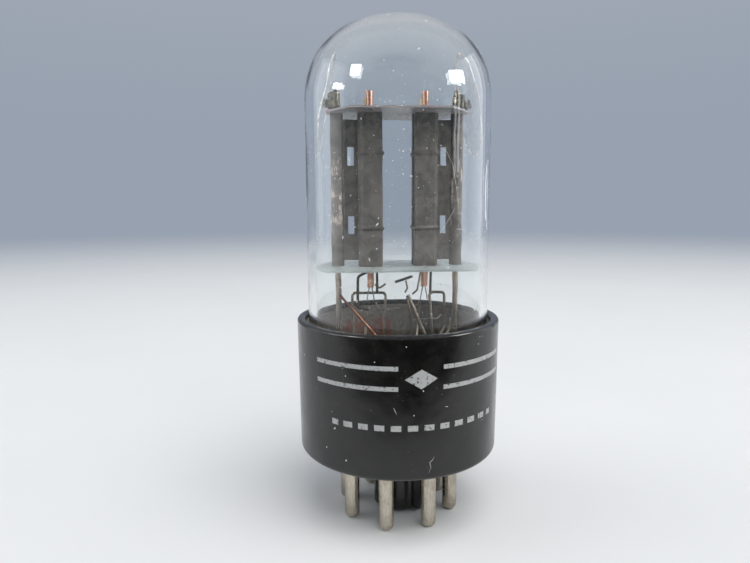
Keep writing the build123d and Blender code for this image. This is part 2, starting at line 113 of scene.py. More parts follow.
# Ruled marks on the front of the base, in mm round the wall from their middle, and up
MARK_COS, MARK_SIN = 0.995, 0.105  # their middle is 6 degrees to the right of the front
MARK_RADIUS = 16.0
MARK_EDGE = 0.1
RULE_HIGH, RULE_LOW = 27.8, 24.9
RULE_HALF = 0.32
RULE_START = 3.2
RULE_END = 16.4
LOZENGE_LEVEL = 26.25
LOZENGE_HALF = 1.35
LOZENGE_SLOPE = 0.6
DASH_LEVEL = 19.2
DASH_HALF = 0.42
DASH_END = 13.4
DASH_PER_MM = 0.42
DASH_SHIFT = 40
DASH_SHARE = 0.6
DASH_SHARE_EDGE = 0.63


# ---------------------------------------------------------------- node helpers
class Nodes:
    """Builds one material's node tree, with coordinates in millimetres."""

    def __init__(self, name):
        self.mat = bpy.data.materials.new(name)
        self.mat.use_nodes = True
        self.tree = self.mat.node_tree
        self.tree.nodes.clear()
        self.out = self.new("ShaderNodeOutputMaterial")
        coords = self.new("ShaderNodeTexCoord")
        scale = self.new("ShaderNodeVectorMath", operation="SCALE")
        self.tree.links.new(coords.outputs["Object"], scale.inputs[0])
        scale.inputs["Scale"].default_value = 1 / MM
        self.mm = scale.outputs[0]

    def new(self, kind, **settings):
        node = self.tree.nodes.new(kind)
        for key, value in settings.items():
            setattr(node, key, value)
        return node

    def feed(self, socket, value):
        """Links a socket to the input, or sets it to a number or a colour."""
        if isinstance(value, bpy.types.NodeSocket):
            self.tree.links.new(value, socket)
        elif isinstance(value, tuple) and len(value) == 3 and len(socket.default_value) == 4:
            socket.default_value = (*value, 1)
        else:
            socket.default_value = value

    def stretch(self, scale):
        node = self.new("ShaderNodeVectorMath", operation="MULTIPLY")
        self.feed(node.inputs[0], self.mm)
        node.inputs[1].default_value = scale
        return node.outputs[0]

    def noise(self, scale, detail=3.0, rough=0.55, stretch=None, warp=0.0):
        node = self.new("ShaderNodeTexNoise")
        self.feed(node.inputs["Vector"], self.stretch(stretch) if stretch else self.mm)
        node.inputs["Scale"].default_value = scale
        node.inputs["Detail"].default_value = detail
        node.inputs["Roughness"].default_value = rough
        node.inputs["Distortion"].default_value = warp
        return node.outputs["Fac"]

    def cells(self, scale):
        node = self.new("ShaderNodeTexVoronoi")
        self.feed(node.inputs["Vector"], self.mm)
        node.inputs["Scale"].default_value = scale
        return node.outputs["Distance"]

    def ramp(self, value, low, high, a=0.0, b=1.0):
        """Maps low..high to a..b, clamped and smooth."""
        node = self.new("ShaderNodeMapRange", interpolation_type="SMOOTHSTEP")
        self.feed(node.inputs["Value"], value)
        for name, v in (("From Min", low), ("From Max", high), ("To Min", a), ("To Max", b)):
            node.inputs[name].default_value = v
        return node.outputs["Result"]

    def math(self, operation, a, b=0.0, clamp=False):
        node = self.new("ShaderNodeMath", operation=operation, use_clamp=clamp)
        self.feed(node.inputs[0], a)
        self.feed(node.inputs[1], b)
        return node.outputs[0]

    def times(self, a, b):
        return self.math("MULTIPLY", a, b)

    def plus(self, a, b, clamp=False):
        return self.math("ADD", a, b, clamp)

    def minus(self, a, b):
        return self.math("SUBTRACT", a, b)

    def mix(self, factor, a, b):
        node = self.new("ShaderNodeMix", data_type="RGBA")
        self.feed(node.inputs[0], factor)
        self.feed(node.inputs[6], a)
        self.feed(node.inputs[7], b)
        return node.outputs[2]

    def bump(self, height, distance, strength=1.0, under=None):
        node = self.new("ShaderNodeBump")
        self.feed(node.inputs["Height"], height)
        node.inputs["Distance"].default_value = distance * MM
        node.inputs["Strength"].default_value = strength
        if under:
            self.feed(node.inputs["Normal"], under)
        return node.outputs["Normal"]

    def edges(self, radius, low=0.02, high=0.35):
        """Mask of edges, used for wear and a painted edge highlight: where rounding the surface by
        radius would turn its normal.
        """
        geometry = self.new("ShaderNodeNewGeometry")
        bevel = self.new("ShaderNodeBevel", samples=4)
        bevel.inputs["Radius"].default_value = radius * MM
        dot = self.new("ShaderNodeVectorMath", operation="DOT_PRODUCT")
        self.feed(dot.inputs[0], bevel.outputs[0])
        self.feed(dot.inputs[1], geometry.outputs["Normal"])
        return self.ramp(self.minus(1.0, dot.outputs["Value"]), low, high)

    def axis(self, name):
        node = self.new("ShaderNodeSeparateXYZ")
        self.feed(node.inputs[0], self.mm)
        return node.outputs[name]

    def surface(self, **values):
        node = self.new("ShaderNodeBsdfPrincipled")
        for key, value in values.items():
            self.feed(node.inputs[key.replace("_", " ")], value)
        self.feed(self.out.inputs["Surface"], node.outputs[0])
        return self.mat


# ---------------------------------------------------------------- materials
DRAWN = (1, 1, 0.12)
EVEN = (1, 1, 1)


def metal(name, colour, tarnish, rough=(0.28, 0.5), drawn=DRAWN, grain=6.0, patch=0.9,
          spots=0.5, depth=0.03, soot_from=None):
    """Worn metal: tarnish in patches, drawn lines along Z, fine pits, and soot above a height."""
    n = Nodes(name)
    patches = n.ramp(n.noise(patch, 5, 0.65, warp=0.6), 0.42, 0.62)
    lines = n.noise(grain, 3, 0.6, stretch=drawn)
    pits = n.ramp(n.cells(3.2), 0.05, 0.16, 1, 0)
    shade = n.mix(n.times(patches, spots), colour, tarnish)
    darker = tuple(c * 0.55 for c in tarnish)
    shade = n.mix(n.ramp(lines, 0.3, 0.75, 0.0, 0.35), shade, darker)
    if soot_from:
        height = n.ramp(n.axis("Z"), soot_from, soot_from + 0.8)
        shade = n.mix(n.times(height, n.ramp(patches, 0, 1, 0.75, 1)), shade, (0.045, 0.042, 0.028))
    roughness = n.plus(n.ramp(lines, 0.3, 0.7, *rough), n.times(patches, 0.1))
    relief = n.minus(lines, n.times(pits, 0.6))
    return n.surface(
        Base_Color=shade, Metallic=1.0, Roughness=roughness, Normal=n.bump(relief, depth, 0.5),
    )


def phenolic():
    """Black moulded phenolic: brown mottle, dust, lint, worn lip, hairlines and ruled marks."""
    n = Nodes("phenolic")
    mottle = n.noise(0.35, 5, 0.6, warp=0.4)
    fine = n.noise(4.0, 4, 0.6)
    shade = n.mix(n.ramp(mottle, 0.35, 0.7), (0.0044, 0.0042, 0.004), (0.0105, 0.0094, 0.0082))
    dust = n.times(n.ramp(n.cells(1.15), 0.045, 0.075, 1, 0), n.ramp(n.noise(0.4, 2), 0.45, 0.62))
    shade = n.mix(n.times(dust, 0.5), shade, (0.22, 0.2, 0.18))
    lint = n.ramp(n.noise(1.6, 6, 0.7, stretch=(1, 1, 0.35)), 0.66, 0.78)
    shade = n.mix(n.times(lint, 0.18), shade, (0.16, 0.13, 0.1))
    top = BASE_TOP / MM
    lip = n.times(n.ramp(n.axis("Z"), top - 0.9, top - 0.1), n.ramp(fine, 0.45, 0.7))
    shade = n.mix(n.times(lip, 0.35), shade, (0.06, 0.05, 0.045))
    contour = n.noise(0.9, 2, 0.4, stretch=(6, 6, 0.7), warp=1.2)
    hairlines = n.times(n.ramp(contour, 0.497, 0.5), n.ramp(contour, 0.503, 0.5))
    hairlines = n.times(hairlines, n.ramp(n.noise(0.25, 2), 0.5, 0.62))
    shade = n.mix(n.times(hairlines, 0.5), shade, (0.12, 0.11, 0.1))
    ink = n.times(ruled_marks(n), n.ramp(n.noise(2.2, 6, 0.75), 0.36, 0.47))
    shade = n.mix(n.times(ink, 0.8), shade, (0.5, 0.51, 0.5))
    rough = n.plus(n.ramp(mottle, 0.3, 0.7, 0.14, 0.24), n.ramp(fine, 0.4, 0.7, 0, 0.05))
    rough = n.plus(rough, n.times(ink, 0.25))
    wave = n.bump(n.noise(0.16, 2, 0.5), 0.35, 0.5)
    relief = n.minus(n.plus(fine, ink), n.times(hairlines, 2.0))
    return n.surface(
        Base_Color=shade, Roughness=rough, IOR=1.5, Specular_IOR_Level=0.58,
        Normal=n.bump(relief, 0.003, 0.4, wave),
    )


def ruled_marks(n):
    """Mask of plain worn marks on the front of the base: two rules, a lozenge and dashes."""
    x, y, z = n.axis("X"), n.axis("Y"), n.axis("Z")
    across = n.plus(n.times(x, MARK_COS), n.times(y, MARK_SIN))
    forward = n.minus(n.times(x, MARK_SIN), n.times(y, MARK_COS))
    arc = n.times(n.math("ARCTAN2", across, forward), MARK_RADIUS)
    away = n.math("ABSOLUTE", arc)

    def band(centre, half):
        gap = n.math("ABSOLUTE", n.minus(z, centre))
        return n.ramp(gap, half - MARK_EDGE / 2, half + MARK_EDGE / 2, 1, 0)

    def within(value, end):
        return n.ramp(value, end, end + MARK_EDGE, 1, 0)

    rules = n.plus(band(RULE_HIGH, RULE_HALF), band(RULE_LOW, RULE_HALF))
    ends = n.times(within(away, RULE_END), n.ramp(away, RULE_START, RULE_START + MARK_EDGE))
    lozenge_gap = n.math("ABSOLUTE", n.minus(z, LOZENGE_LEVEL))
    lozenge = within(n.plus(n.times(away, LOZENGE_SLOPE), lozenge_gap), LOZENGE_HALF)
    dash = n.math("FRACT", n.times(n.plus(arc, DASH_SHIFT), DASH_PER_MM))
    dashes = n.times(n.ramp(dash, DASH_SHARE, DASH_SHARE_EDGE, 1, 0), band(DASH_LEVEL, DASH_HALF))
    dashes = n.times(dashes, within(away, DASH_END))
    return n.plus(n.plus(n.times(rules, ends), lozenge), dashes, clamp=True)


def glass(name, tint, rough_low=0.0):
    """Clear blown glass that lets lamps through, with smears that dull it a little."""
    n = Nodes(name)
    smear = n.ramp(n.noise(0.22, 4, 0.6, warp=0.8), 0.5, 0.8, rough_low, rough_low + 0.008)
    body = n.new("ShaderNodeBsdfPrincipled")
    body.inputs["IOR"].default_value = 1.5
    body.inputs["Transmission Weight"].default_value = 1.0
    n.feed(body.inputs["Base Color"], tint)
    n.feed(body.inputs["Roughness"], smear)
    n.feed(body.inputs["Normal"], n.bump(n.noise(0.11, 2, 0.5), 0.16, 0.5))
    clear = n.new("ShaderNodeBsdfTransparent")
    n.feed(clear.inputs[0], (0.93, 0.95, 0.95))
    path = n.new("ShaderNodeLightPath")
    mixer = n.new("ShaderNodeMixShader")
    n.feed(mixer.inputs[0], path.outputs["Is Shadow Ray"])
    n.feed(mixer.inputs[1], body.outputs[0])
    n.feed(mixer.inputs[2], clear.outputs[0])
    n.feed(n.out.inputs["Surface"], mixer.outputs[0])
    return n.mat


def mica_sheet(name, light, dark, alpha, stained=False):
    """Split mica: cloudy layers and flecks. If stained, the left tip has a rusty stain."""
    n = Nodes(name)
    clouds = n.noise(0.5, 5, 0.65, stretch=(1, 1.6, 1), warp=1.0)
    flecks = n.ramp(n.cells(1.6), 0.05, 0.13, 1, 0)
    shade = n.mix(n.ramp(clouds, 0.35, 0.68), light, dark)
    shade = n.mix(n.times(flecks, 0.55), shade, (0.2, 0.13, 0.09))
    if stained:
        stain = n.ramp(n.plus(n.axis("X"), n.times(clouds, 1.2)), -10.2, -9.6, 1, 0)
        shade = n.mix(n.times(stain, 0.7), shade, (0.33, 0.09, 0.085))
    see = n.plus(n.ramp(clouds, 0.3, 0.7, *alpha), n.times(flecks, 0.1), clamp=True)
    return n.surface(
        Base_Color=shade, Roughness=n.ramp(clouds, 0.3, 0.7, 0.22, 0.45), Alpha=see, IOR=1.58,
        Normal=n.bump(clouds, 0.04, 0.6),
    )


def carbonised():
    """Plate metal: matt dark grey-brown, painted shade towards the top, rubbed streaks, edges paler
    from wear and a painted highlight, flaked crimps.
    """
    n = Nodes("carbonised_nickel")
    z = n.axis("Z")
    blotch = n.noise(0.45, 6, 0.68, warp=0.7)
    streak = n.noise(3.2, 4, 0.6, stretch=(1, 1, 0.1))
    speck = n.ramp(n.noise(7.0, 3, 0.7), 0.62, 0.75)
    shade = n.mix(n.ramp(blotch, 0.35, 0.68), (0.15, 0.132, 0.118), (0.088, 0.079, 0.072))
    # Painted shade: the plates darken towards the top
    top_painted_shade = n.times(n.ramp(z, 56, 63.5), n.ramp(n.noise(0.9, 4, 0.7), 0.4, 0.62, 0, 0.75))
    shade = n.mix(top_painted_shade, shade, (0.055, 0.05, 0.04))
    shade = n.mix(n.ramp(streak, 0.55, 0.8, 0, 0.3), shade, (0.22, 0.195, 0.17))
    shade = n.mix(n.times(speck, 0.35), shade, (0.26, 0.22, 0.19))
    # Paler edges: partly wear, partly a painted edge highlight
    edge_wear_and_highlight = n.times(n.edges(0.16), n.ramp(n.noise(1.8, 4, 0.7), 0.3, 0.6, 0.25, 1))
    shade = n.mix(n.times(edge_wear_and_highlight, 0.55), shade, (0.3, 0.27, 0.24))
    crimps = n.ramp(n.math("ABSOLUTE", n.axis("X")), 8.3, 8.6)
    middle = n.times(n.ramp(z, 44, 48), n.ramp(z, 55, 58, 1, 0))
    peeled = n.ramp(n.noise(1.1, 6, 0.75, stretch=(1.4, 1.4, 0.5)), 0.52, 0.58)
    flakes = n.times(n.times(crimps, middle), peeled)
    shade = n.mix(flakes, shade, (0.5, 0.4, 0.35))
    relief = n.plus(n.noise(9.0, 3, 0.6), n.plus(n.times(streak, 0.5), n.times(flakes, 2.0)))
    return n.surface(
        Base_Color=shade, Metallic=0.35, Roughness=n.ramp(blotch, 0.3, 0.7, 0.5, 0.72),
        Normal=n.bump(relief, 0.02, 0.55),
    )


def powdery(name, light, dark, scale):
    """Matt granular stuff, such as a coating or dust."""
    n = Nodes(name)
    grain = n.noise(scale, 5, 0.7)
    shade = n.mix(n.ramp(grain, 0.35, 0.65), dark, light)
    darker = tuple(c * 0.6 for c in dark)
    shade = n.mix(n.ramp(n.noise(scale * 0.2, 3), 0.4, 0.7, 0, 0.4), shade, darker)
    return n.surface(
        Base_Color=shade, Roughness=n.ramp(grain, 0.3, 0.7, 0.75, 0.85), Normal=n.bump(grain, 0.05),
    )


def cement():
    """Granular basing cement: dark, with painted shade towards the right, brick red low on the
    left.
    """
    n = Nodes("basing_cement")
    x = n.axis("X")
    grain = n.noise(1.6, 5, 0.7)
    shade = n.mix(n.ramp(grain, 0.35, 0.65), (0.125, 0.103, 0.088), (0.22, 0.185, 0.16))
    low = n.ramp(n.plus(n.axis("Z"), n.times(grain, 3.0)), 29.5, 31.5, 1, 0)
    left = n.ramp(n.math("ABSOLUTE", n.plus(x, 5.0)), 4.0, 6.5, 1, 0)
    patchy = n.ramp(n.noise(0.45, 5, 0.7, warp=0.5), 0.4, 0.56)
    stray = n.ramp(n.noise(0.5, 4, 0.6), 0.6, 0.7, 0, 0.35)
    red = n.math("MAXIMUM", n.times(n.times(low, left), patchy), stray)
    # Painted shade: the cement darkens towards the right
    shade = n.mix(n.ramp(x, 2.0, 7.0, 0, 0.78), shade, (0.045, 0.04, 0.034))
    shade = n.mix(red, shade, n.mix(grain, (0.13, 0.035, 0.022), (0.3, 0.1, 0.06)))
    return n.surface(
        Base_Color=shade, Roughness=n.ramp(grain, 0.3, 0.7, 0.75, 0.9), Normal=n.bump(grain, 0.2),
    )


NICKEL = (0.46, 0.39, 0.32)
NICKEL_TARNISH = (0.16, 0.12, 0.09)
WIRE_GRAIN = 9.0

MATERIALS = {
    "base_moulding": phenolic(),
    "basing_cement": cement(),
    "glass": glass("bulb_glass", (0.965, 0.985, 0.985)),
    "stem_glass": glass("stem_glass", (0.9, 0.92, 0.9), 0.02),
    "pin_metal": metal("pin_nickel", (0.6, 0.55, 0.46), (0.26, 0.21, 0.15), (0.16, 0.28),
                       patch=0.35, spots=0.38, depth=0.004),
    "solder": metal("solder", (0.42, 0.42, 0.41), (0.2, 0.19, 0.18), (0.35, 0.55), EVEN),
    "mica": mica_sheet("sheet_mica", (0.37, 0.335, 0.33), (0.25, 0.215, 0.22), (0.85, 0.98),
                       stained=True),
    "ear_mica": mica_sheet("ear_mica", (0.48, 0.47, 0.48), (0.24, 0.24, 0.26), (0.05, 0.2)),
    "plate": carbonised(),
    "nickel_wire": metal("nickel_wire", NICKEL, NICKEL_TARNISH, (0.2, 0.4), grain=WIRE_GRAIN),
    "copper_wire": metal("copper_wire", (0.5, 0.22, 0.14), (0.2, 0.08, 0.05), (0.25, 0.45)),
    "cathode": metal("cathode_sleeve", (0.76, 0.45, 0.34), (0.27, 0.1, 0.06), (0.22, 0.42),
                     grain=8.0),
    "heater": powdery("heater_coating", (0.6, 0.6, 0.6), (0.35, 0.35, 0.36), 9.0),
    "grid_metal": metal("grid_metal", (0.12, 0.1, 0.085), (0.05, 0.04, 0.033), (0.3, 0.5),
                        grain=WIRE_GRAIN),
    "getter_metal": metal("getter_metal", (0.07, 0.07, 0.045), (0.03, 0.03, 0.02), (0.35, 0.55),
                          EVEN),
}
OWN_MATERIALS = {
    "cathode_ribbons": metal("ribbon_metal", (0.78, 0.68, 0.5), (0.42, 0.34, 0.22), (0.42, 0.6),
                             grain=WIRE_GRAIN),
    "left_support_rod": metal("sooted_rod", NICKEL, NICKEL_TARNISH, (0.2, 0.4), grain=WIRE_GRAIN,
                              soot_from=MICA_TOP / MM),
    "bottom_mica": mica_sheet("milky_mica", (0.44, 0.47, 0.46), (0.27, 0.3, 0.3), (0.55, 0.85)),
}
RIM_MICA = mica_sheet("mica_rim", (0.98, 0.95, 0.92), (0.45, 0.38, 0.34), (1.0, 0.35))
CLIP_METAL = metal("clip_metal", (0.3, 0.27, 0.19), (0.03, 0.028, 0.02), (0.2, 0.45), EVEN,
                   patch=1.6, spots=1.0)
DUST = powdery("dust", (0.92, 0.9, 0.87), (0.7, 0.68, 0.65), 4.0)

for part in frame["record"]["subparts"]:
    slots = nodes[part["node"]].data.materials
    slots.clear()
    slots.append(OWN_MATERIALS.get(part["node"], MATERIALS[part["material_slot"]]))


# ---------------------------------------------------------------- mesh helpers
def add_mesh(name, verts, faces, materials, smooth=True):
    """Adds a mesh object, with its faces turned outwards."""
    mesh = bpy.data.meshes.new(name)
    mesh.from_pydata(verts, [], faces)
    mesh.update()
    work = bmesh.new()
    work.from_mesh(mesh)
    bmesh.ops.recalc_face_normals(work, faces=work.faces)
    work.to_mesh(mesh)
    work.free()
    for polygon in mesh.polygons:
        polygon.use_smooth = smooth
    for material in materials:
        mesh.materials.append(material)
    piece = bpy.data.objects.new(name, mesh)
    bpy.context.scene.collection.objects.link(piece)
    return piece


def dome_profile(radius, foot, top, rise):
    """Half outline (r, z) from the foot up the wall and over the dome to the axis."""
    start = top - rise
    points = [(radius, foot + (start - foot) * i / WALL_RINGS) for i in range(WALL_RINGS)]
    for i in range(DOME_STEPS + 1):
        angle = math.pi / 2 * i / DOME_STEPS
        r = radius * math.cos(angle) ** (2 / DOME_POWER) if i < DOME_STEPS else 0.0
        points.append((r, start + rise * math.sin(angle) ** (2 / DOME_POWER)))
    return points


def lathe(profile, segments, wobble=0.0):
    """Vertices and faces of a profile turned about Z. Its last point is on the axis."""
    verts, faces = [], []
    for r, z in profile[:-1]:
        for k in range(segments):
            a = 2 * math.pi * k / segments
            way = Vector((math.cos(a), math.sin(a), z / UNEVEN_PITCH)) * UNEVEN_SCALE
            push = wobble * abs(noise.noise(way + Vector((UNEVEN_SEED, 0, 0))))
            verts.append(((r - push) * math.cos(a), (r - push) * math.sin(a), z))
    for i in range(len(profile) - 2):
        for k in range(segments):
            a, b = i * segments + k, i * segments + (k + 1) % segments
            faces.append((a, b, b + segments, a + segments))
    tip = len(verts)
    verts.append((0, 0, profile[-1][1]))
    last = (len(profile) - 2) * segments
    for k in range(segments):
        faces.append((last + k, last + (k + 1) % segments, tip))
    return verts, faces


# ---------------------------------------------------------------- pieces
def build_bulb(outer):
    """The bulb as one closed glass shell, joined round its foot."""
    inner = dome_profile(BULB_RADIUS - BULB_WALL, BULB_FOOT, BULB_TOP - BULB_WALL, INNER_DOME_RISE)
    outer_verts, outer_faces = lathe(outer, BULB_SEGMENTS)
    inner_verts, inner_faces = lathe(inner, BULB_SEGMENTS, UNEVEN_DEPTH)
    shift = len(outer_verts)
    faces = outer_faces + [tuple(i + shift for i in reversed(face)) for face in inner_faces]
    for k in range(BULB_SEGMENTS):
        j = (k + 1) % BULB_SEGMENTS
        faces.append((j, k, shift + k, shift + j))
    piece = add_mesh("bulb_glass", outer_verts + inner_verts, faces, [MATERIALS["glass"]])
    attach(piece, "root")
    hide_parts("glass_bulb")


def build_ear(side):
    """A leaning mica ear: clear thin sheet with an uneven, split and paler rim."""
    low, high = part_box(f"{side}_mica_ear")
    centre = (low + high) / 2
    sign = 1 if side == "right" else -1
    turn = EAR_TURN[side]
    level = sign * math.cos(EAR_LEAN)
    along = Vector((-math.sin(turn), math.cos(turn), 0))
    out = Vector((level * math.cos(turn), level * math.sin(turn), math.sin(EAR_LEAN)))
    up = out.cross(along).normalized()
    if up.z < 0:
        up = -up
    rng = random.Random(EAR_SEED[side])
    angles = [2 * math.pi * k / EAR_SPOKES for k in range(EAR_SPOKES)]
    ragged = []
    for a in angles:
        scallop = EAR_SCALLOP * math.sin(EAR_SCALLOPS * a + sign) ** 2
        ragged.append(1 - EAR_CHIP * rng.random() ** 3 - scallop)
    rings = len(EAR_RINGS)
    verts, faces = [], []
    for face in (-1, 1):
        for ring, reach in enumerate(EAR_RINGS):
            lift = face * EAR_HALF_SHEET * (EAR_RIM_SHARE if ring == rings - 1 else 1)
            for a, chipped in zip(angles, ragged):
                share = reach * (chipped if ring >= rings - 2 else 1)
                spot = along * (EAR_HALF_WIDTH * share * math.cos(a))
                spot += up * (EAR_HALF_HEIGHT * share * math.sin(a))
                bend = EAR_BEND * noise.noise(spot * EAR_BEND_SCALE + Vector((sign * 3, 0, 0)))
                verts.append(centre + spot + out * (bend + lift))
        verts.append(centre + out * face * EAR_HALF_SHEET)
    size = rings * EAR_SPOKES + 1
    for shift in (0, size):
        for ring in range(rings - 1):
            for k in range(EAR_SPOKES):
                a = shift + ring * EAR_SPOKES + k
                b = shift + ring * EAR_SPOKES + (k + 1) % EAR_SPOKES
                faces.append((a, b, b + EAR_SPOKES, a + EAR_SPOKES))
        for k in range(EAR_SPOKES):
            faces.append((shift + k, shift + (k + 1) % EAR_SPOKES, shift + size - 1))
    edge = (rings - 1) * EAR_SPOKES
    rim_from = len(faces)
    for k in range(EAR_SPOKES):
        a, b = edge + k, edge + (k + 1) % EAR_SPOKES
        faces.append((a, b, b + size, a + size))
    piece = add_mesh(f"{side}_ear_sheet", verts, faces, [MATERIALS["ear_mica"], RIM_MICA])
    for polygon in piece.data.polygons:
        outer = all(edge - EAR_SPOKES <= i % size < edge + EAR_SPOKES for i in polygon.vertices)
        polygon.material_index = 1 if polygon.index >= rim_from or outer else 0
    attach(piece, "root")
    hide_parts(f"{side}_mica_ear")


def build_clip(side):
    """The strap between ear and rod, crumpled by hand: the CAD strap cut finely and dented."""
    low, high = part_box(f"{side}_ear_clip")
    middle = (low.z + high.z) / 2
    work = bmesh.new()
    work.from_mesh(nodes[f"{side}_ear_clip"].data)
    bmesh.ops.remove_doubles(work, verts=work.verts, dist=0.001 * MM)
    for _ in range(CLIP_ROUNDS):
        long_edges = [edge for edge in work.edges if edge.calc_length() > CLIP_EDGE]
        if not long_edges:
            break
        bmesh.ops.subdivide_edges(work, edges=long_edges, cuts=1)
        bmesh.ops.triangulate(work, faces=[face for face in work.faces if len(face.verts) > 4])
    shifts = (Vector((0, 0, 0)), Vector((CRUMPLE_SHIFT, 0, 0)), Vector((0, CRUMPLE_SHIFT, 0)))
    for vert in work.verts:
        dent = Vector([noise.noise(vert.co * CRUMPLE_SCALE + shift) for shift in shifts])
        flare = 1.0 + CRUMPLE_FLARE * abs(vert.co.z - middle) / CRUMPLE_HALF_HEIGHT
        vert.co += dent * CRUMPLE_DEPTH * flare
    mesh = bpy.data.meshes.new(f"{side}_clip_crumpled")
    work.to_mesh(mesh)
    work.free()
    mesh.materials.append(CLIP_METAL)
    piece = bpy.data.objects.new(f"{side}_clip_crumpled", mesh)
    bpy.context.scene.collection.objects.link(piece)
    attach(piece, "root")
    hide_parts(f"{side}_ear_clip")


def on_wall(outline, turn, height):
    """Point, outward and sideways directions on a turned wall, at degrees round and mm up."""
    z = height * MM
    for (r0, z0), (r1, z1) in zip(outline, outline[1:]):
        if z0 <= z <= z1:
            r = r0 + (r1 - r0) * (z - z0) / max(z1 - z0, 1e-9)
            slope = Vector((z1 - z0, 0, r0 - r1)).normalized()
            break
    c, s = math.cos(math.radians(turn)), math.sin(math.radians(turn))
    outward = Vector((slope.x * c, slope.x * s, slope.z))
    return Vector((r * c, r * s, z)), outward, Vector((-s, c, 0))


def build_dust(name, outline, count, low, high, seed):
    """Specks of dust on a wall between two heights: small uneven raised chips."""
    rng = random.Random(seed)
    verts, faces = [], []
    for _ in range(count):
        turn, height = rng.uniform(-180, 180), rng.uniform(low / MM, high / MM)
        spot, out, side = on_wall(outline, turn, height)
        rise = out.cross(side)
        size = CHIP_SIZE * (1 + 2.4 * rng.random() ** 5)
        stretch = 1 + 2.5 * rng.random() ** 6
        spin = rng.uniform(0, math.pi)
        c, s = math.cos(spin), math.sin(spin)
        first = len(verts)
        for k in range(CHIP_CORNERS):
            a = 2 * math.pi * k / CHIP_CORNERS
            r = size * rng.uniform(0.6, 1.2)
            u, v = r * stretch * math.cos(a), r * math.sin(a)
            verts.append(spot + side * (u * c - v * s) + rise * (u * s + v * c) + out * CHIP_LIFT)
        verts.append(spot + out * (CHIP_LIFT + size / 2))
        verts.append(spot + out * CHIP_LIFT / 2)
        crown, foot = first + CHIP_CORNERS, first + CHIP_CORNERS + 1
        for k in range(CHIP_CORNERS):
            a, b = first + k, first + (k + 1) % CHIP_CORNERS
            faces += [(a, b, crown), (b, a, foot)]
    piece = add_mesh(name, verts, faces, [DUST], smooth=False)
    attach(piece, "root")


def build_scratches(name, outline, lines, half_width, seed):
    """Hairline scratches: narrow low burrs that taper to both ends."""
    rng = random.Random(seed)
    verts, faces = [], []
    for line in lines:
        places = []
        for (t0, h0), (t1, h1) in zip(line, line[1:]):
            for i in range(BURR_STEPS):
                turn = t0 + (t1 - t0) * i / BURR_STEPS
                places.append((turn, h0 + (h1 - h0) * i / BURR_STEPS))
        places.append(line[-1])
        end = len(places) - 1
        first = len(verts)
        for i, (turn, height) in enumerate(places):
            spot, out, _ = on_wall(outline, turn + rng.uniform(-BURR_SHAKE, BURR_SHAKE), height)
            after = on_wall(outline, *places[min(i + 1, end)])[0]
            following = after - on_wall(outline, *places[max(i - 1, 0)])[0]
            across = out.cross(following).normalized()
            taper = math.sin(math.pi * (i + 0.3) / (end + 0.6))
            width = half_width * taper * rng.uniform(0.3, 1.0)
            verts += [spot + across * width, spot + out * BURR_HEIGHT, spot - across * width]
        last = first + 3 * end
        faces += [(first, first + 2, first + 1), (last, last + 1, last + 2)]
        for a in range(first, last, 3):
            for b, c in ((a, a + 1), (a + 1, a + 2), (a + 2, a)):
                faces.append((b, c, c + 3, b + 3))
    piece = add_mesh(name, verts, faces, [DUST])
    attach(piece, "root")


# Each scratch is a line of points, in degrees round the wall and millimetres up
BULB_SCRATCHES = (
    ((-74.2, 58.3), (-68.1, 57.1), (-64.0, 55.4), (-61.0, 52.0), (-59.3, 48.6)),
    ((-72.5, 46.0), (-68.2, 47.4), (-64.3, 48.8), (-62.2, 49.6)),
    ((-62.0, 46.7), (-56.8, 46.6), (-51.8, 46.5)),
    ((-166.3, 44.4), (-150.4, 44.5)),
    ((40, 50), (48, 53), (60, 54.5)),
    ((110, 60), (113, 52), (121, 44)),
    ((170, 38), (178, 47)),
)
BASE_SCRATCHES = (
    ((-76.9, 14.9), (-77.6, 14.4), (-79.3, 14.0), (-78.6, 13.2), (-79.9, 12.4)),
    ((-98.0, 22.3), (-96.2, 21.2)),
    ((-71.5, 22.0), (-69.4, 21.9)),
    ((20.0, 24.0), (23.0, 19.0), (22.0, 17.0)),
    ((140.0, 27.0), (150.0, 25.5)),
)
BULB_OUTLINE = dome_profile(BULB_RADIUS, BULB_FOOT, BULB_TOP, DOME_RISE)
BASE_OUTLINE = ((base_high.x - BASE_DRAFT, BASE_FOOT), (base_high.x, BASE_TOP))

build_bulb(BULB_OUTLINE)
for which in ("left", "right"):
    build_ear(which)
    build_clip(which)
build_dust(
    "bulb_dust", BULB_OUTLINE, count=1500, low=BASE_TOP + 0.6 * MM,
    high=BULB_TOP - 1.2 * MM, seed=5)
build_dust(
    "base_dust", BASE_OUTLINE, count=90, low=BASE_FOOT + 1.5 * MM,
    high=BASE_TOP - MM, seed=6)
build_scratches(
    "bulb_scratches", BULB_OUTLINE, BULB_SCRATCHES, half_width=0.045 * MM, seed=8)
build_scratches(
    "base_scratches", BASE_OUTLINE, BASE_SCRATCHES, half_width=0.055 * MM, seed=9)


# ---------------------------------------------------------------- stage
FLOOR_HALF = 1.0
FLAG_HALF_WIDTH = 0.3
FLAG_FRONT, FLAG_BACK = -0.4, -0.03


def add_sheet(name, half_width, front, back, height, material):
    """A level rectangle, centred on X = 0."""
    corners = [(-half_width, front, height), (half_width, front, height),
               (half_width, back, height), (-half_width, back, height)]
    return add_mesh(name, corners, [(0, 1, 2, 3)], [material], smooth=False)


def floor_material():
    """Pale matt floor that fades out far from the tube."""
    n = Nodes("studio_floor")
    shade = n.mix(n.noise(0.02, 3), (0.66, 0.67, 0.68), (0.7, 0.71, 0.715))
    reach = n.new("ShaderNodeVectorMath", operation="LENGTH")
    n.feed(reach.inputs[0], n.mm)
    fade = n.ramp(reach.outputs["Value"], 130, 950, 1, 0)
    return n.surface(Base_Color=shade, Roughness=0.8, Specular_IOR_Level=0.0, Alpha=fade)


